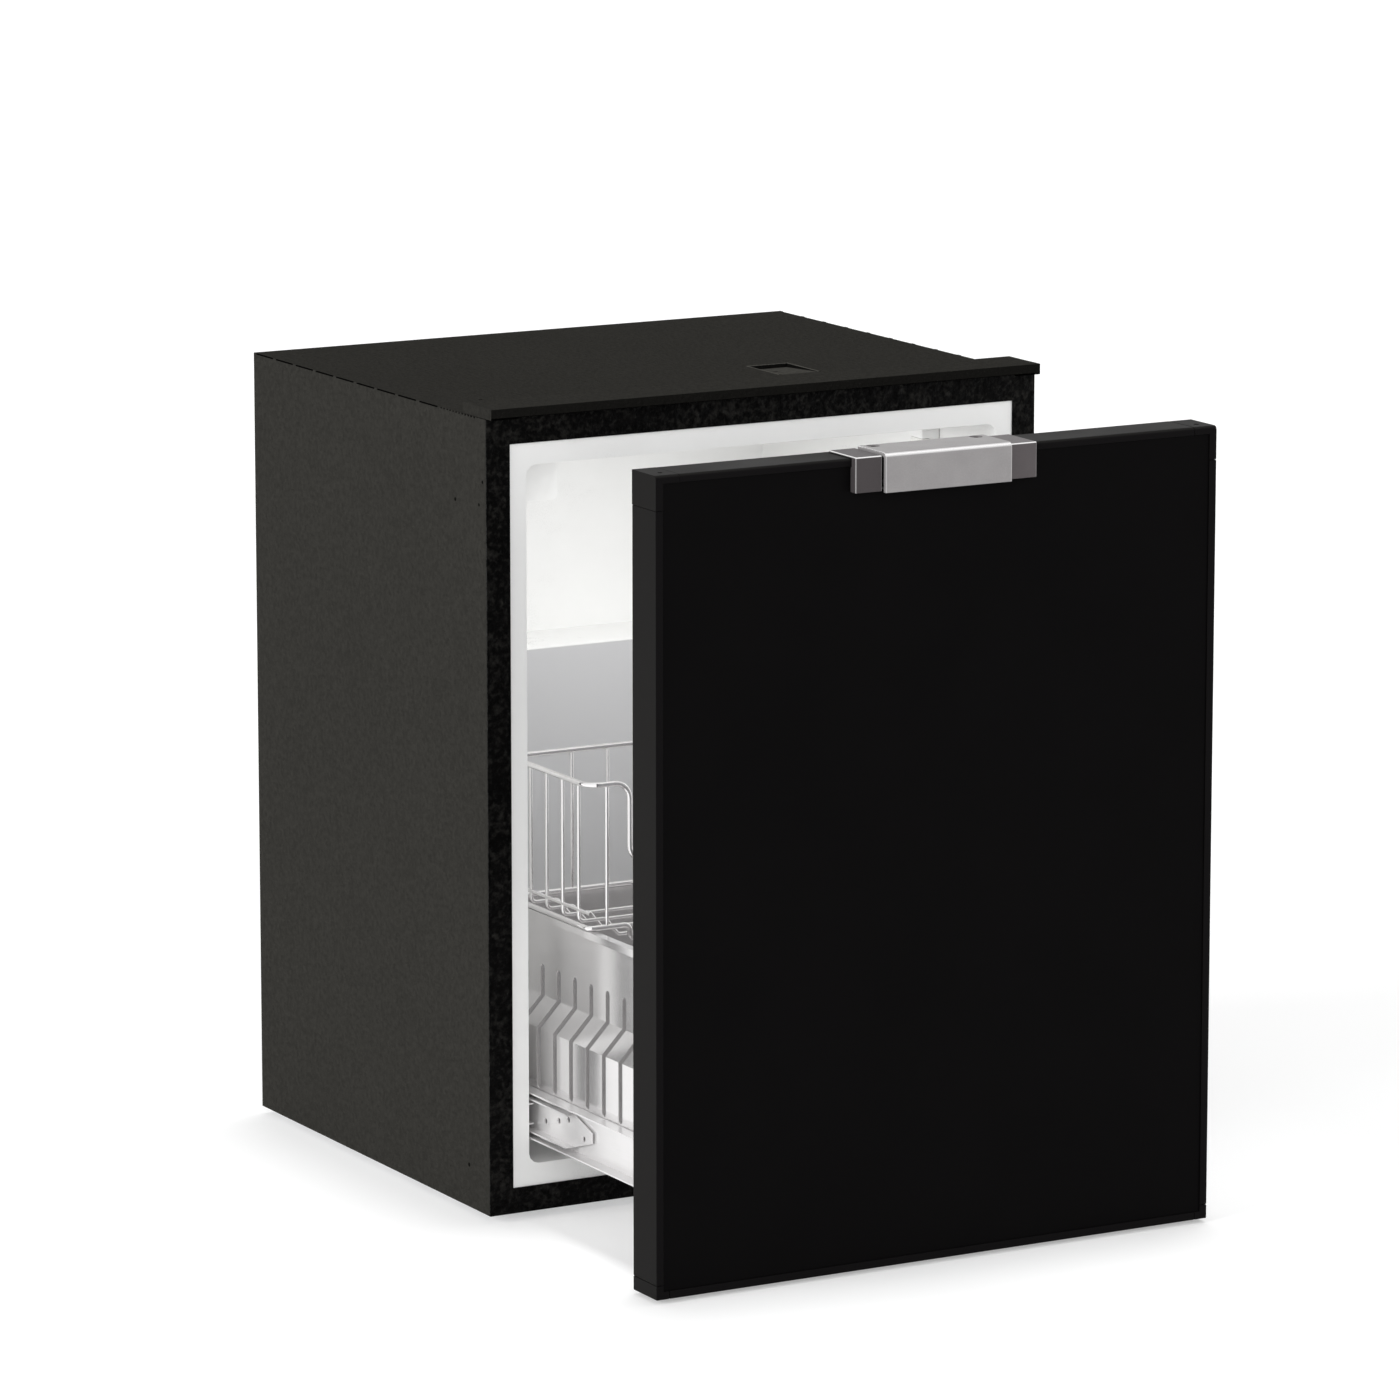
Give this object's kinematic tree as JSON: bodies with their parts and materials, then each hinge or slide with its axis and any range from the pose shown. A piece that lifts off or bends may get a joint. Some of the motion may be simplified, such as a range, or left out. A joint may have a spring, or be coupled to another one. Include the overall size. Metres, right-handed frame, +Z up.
{
  "type": "drawer minibar fridge",
  "caption": "Black drawer minibar fridge: a cooled cabinet whose door pulls out on telescopic slides with a slotted steel bin and a wire basket, and a lever handle on top.",
  "frame": {"origin": "middle of the bounding box's underside, on the floor under the foot pads, with the drawer out as pictured", "axes": "+X to the right of someone who faces the door, +Y from the door to the back, +Z up"},
  "size_m": [0.47, 0.6934, 0.6145],
  "materials": {
    "black_paint": "fine texture, satin",
    "wrinkle_paint": "wrinkle texture, semi gloss",
    "panel_paint": "smooth, satin",
    "edge_paint": "satin",
    "zinc_sheet": "galvanised",
    "bright_steel": "bright, smooth",
    "dark_nickel": "satin",
    "aluminium": "satin",
    "copper": "satin",
    "white_plastic": "smooth",
    "knob_plastic": "smooth",
    "grey_plastic": "satin",
    "lamp_lens": "clear gloss",
    "black_plastic": "matte",
    "rubber": "matte",
    "foam": "matte"
  },
  "bodies": {
    "cabinet": {"outer_wrap": "black_paint", "front_frame": "wrinkle_paint", "top_rail": "black_paint", "top_pocket": "black_paint", "base_plate": "zinc_sheet", "foot_front_left": "rubber", "foot_front_right": "rubber", "foot_rear_left": "rubber", "foot_rear_right": "rubber", "back_panel": "zinc_sheet", "bay_sheet": "zinc_sheet", "inner_liner": "white_plastic", "cabinet_foam": "foam", "evaporator": "aluminium", "thermostat_housing": "white_plastic", "thermostat_body": "black_plastic", "lamp_housing": "white_plastic", "lamp_lens": "lamp_lens", "cabinet_rail_left": "bright_steel", "cabinet_rail_right": "bright_steel", "compressor": "black_plastic", "suction_pipe": "copper", "condenser": "black_plastic", "drier_line": "copper", "control_box": "black_plastic", "cable_gland": "grey_plastic"},
    "drawer": {"drawer_rail_left": "bright_steel", "drawer_rail_right": "bright_steel", "bin": "bright_steel", "wire_basket": "bright_steel", "door_stile_left": "edge_paint", "door_stile_right": "edge_paint", "door_top_rail": "edge_paint", "door_bottom_rail": "edge_paint", "door_top_cap_left": "edge_paint", "door_top_cap_right": "edge_paint", "door_bottom_cap_left": "edge_paint", "door_bottom_cap_right": "edge_paint", "front_panel": "panel_paint", "door_foam": "foam", "door_inner_pan": "grey_plastic", "door_gasket": "rubber", "door_bracket_left": "zinc_sheet", "door_bracket_right": "zinc_sheet", "handle_housing": "black_plastic", "handle_end_cap_left": "dark_nickel", "handle_end_cap_right": "dark_nickel", "lever_pin": "bright_steel", "lever_spring": "bright_steel"},
    "lever": {"latch_lever": "aluminium", "latch_rocker": "black_plastic", "lever_screw_left": "dark_nickel", "lever_screw_right": "dark_nickel"},
    "thermostat_knob": {"thermostat_knob": "knob_plastic"},
    "middle_rails": {"middle_rail_left": "bright_steel", "middle_rail_right": "bright_steel"},
    "inner_ball_cages": {"inner_ball_cage_left": "bright_steel", "inner_ball_cage_right": "bright_steel"},
    "outer_ball_cages": {"outer_ball_cage_left": "bright_steel", "outer_ball_cage_right": "bright_steel"}
  },
  "joints": [
    {"name": "drawer_slide", "type": "slide", "parent": "cabinet", "child": "drawer", "axis": [0, -1, 0], "range_m": [-0.207, 0.045]},
    {"name": "middle_rail_slide", "type": "slide", "parent": "cabinet", "child": "middle_rails", "axis": [0, -1, 0], "range_m": [-0.104, 0.023]},
    {"name": "inner_cage_slide", "type": "slide", "parent": "cabinet", "child": "inner_ball_cages", "axis": [0, -1, 0], "range_m": [-0.052, 0.0115]},
    {"name": "outer_cage_slide", "type": "slide", "parent": "cabinet", "child": "outer_ball_cages", "axis": [0, -1, 0], "range_m": [-0.156, 0.034]},
    {"name": "lever_hinge", "type": "hinge", "parent": "drawer", "child": "lever", "pos_m": [0, -0.31605, 0.5835], "axis": [-1, 0, 0], "range_deg": [0, 9], "stiffness_Nm_per_rad": 0.3, "springref_deg": -11.46},
    {"name": "knob_hinge", "type": "hinge", "parent": "cabinet", "child": "thermostat_knob", "pos_m": [-0.178, 0.01725, 0.5467], "axis": [0, -1, 0], "range_deg": [0, 270]}
  ],
  "couplings": [
    {"joint": "middle_rail_slide", "follows": "drawer_slide", "ratio": 0.5},
    {"joint": "inner_cage_slide", "follows": "drawer_slide", "ratio": 0.25},
    {"joint": "outer_cage_slide", "follows": "drawer_slide", "ratio": 0.75}
  ]
}
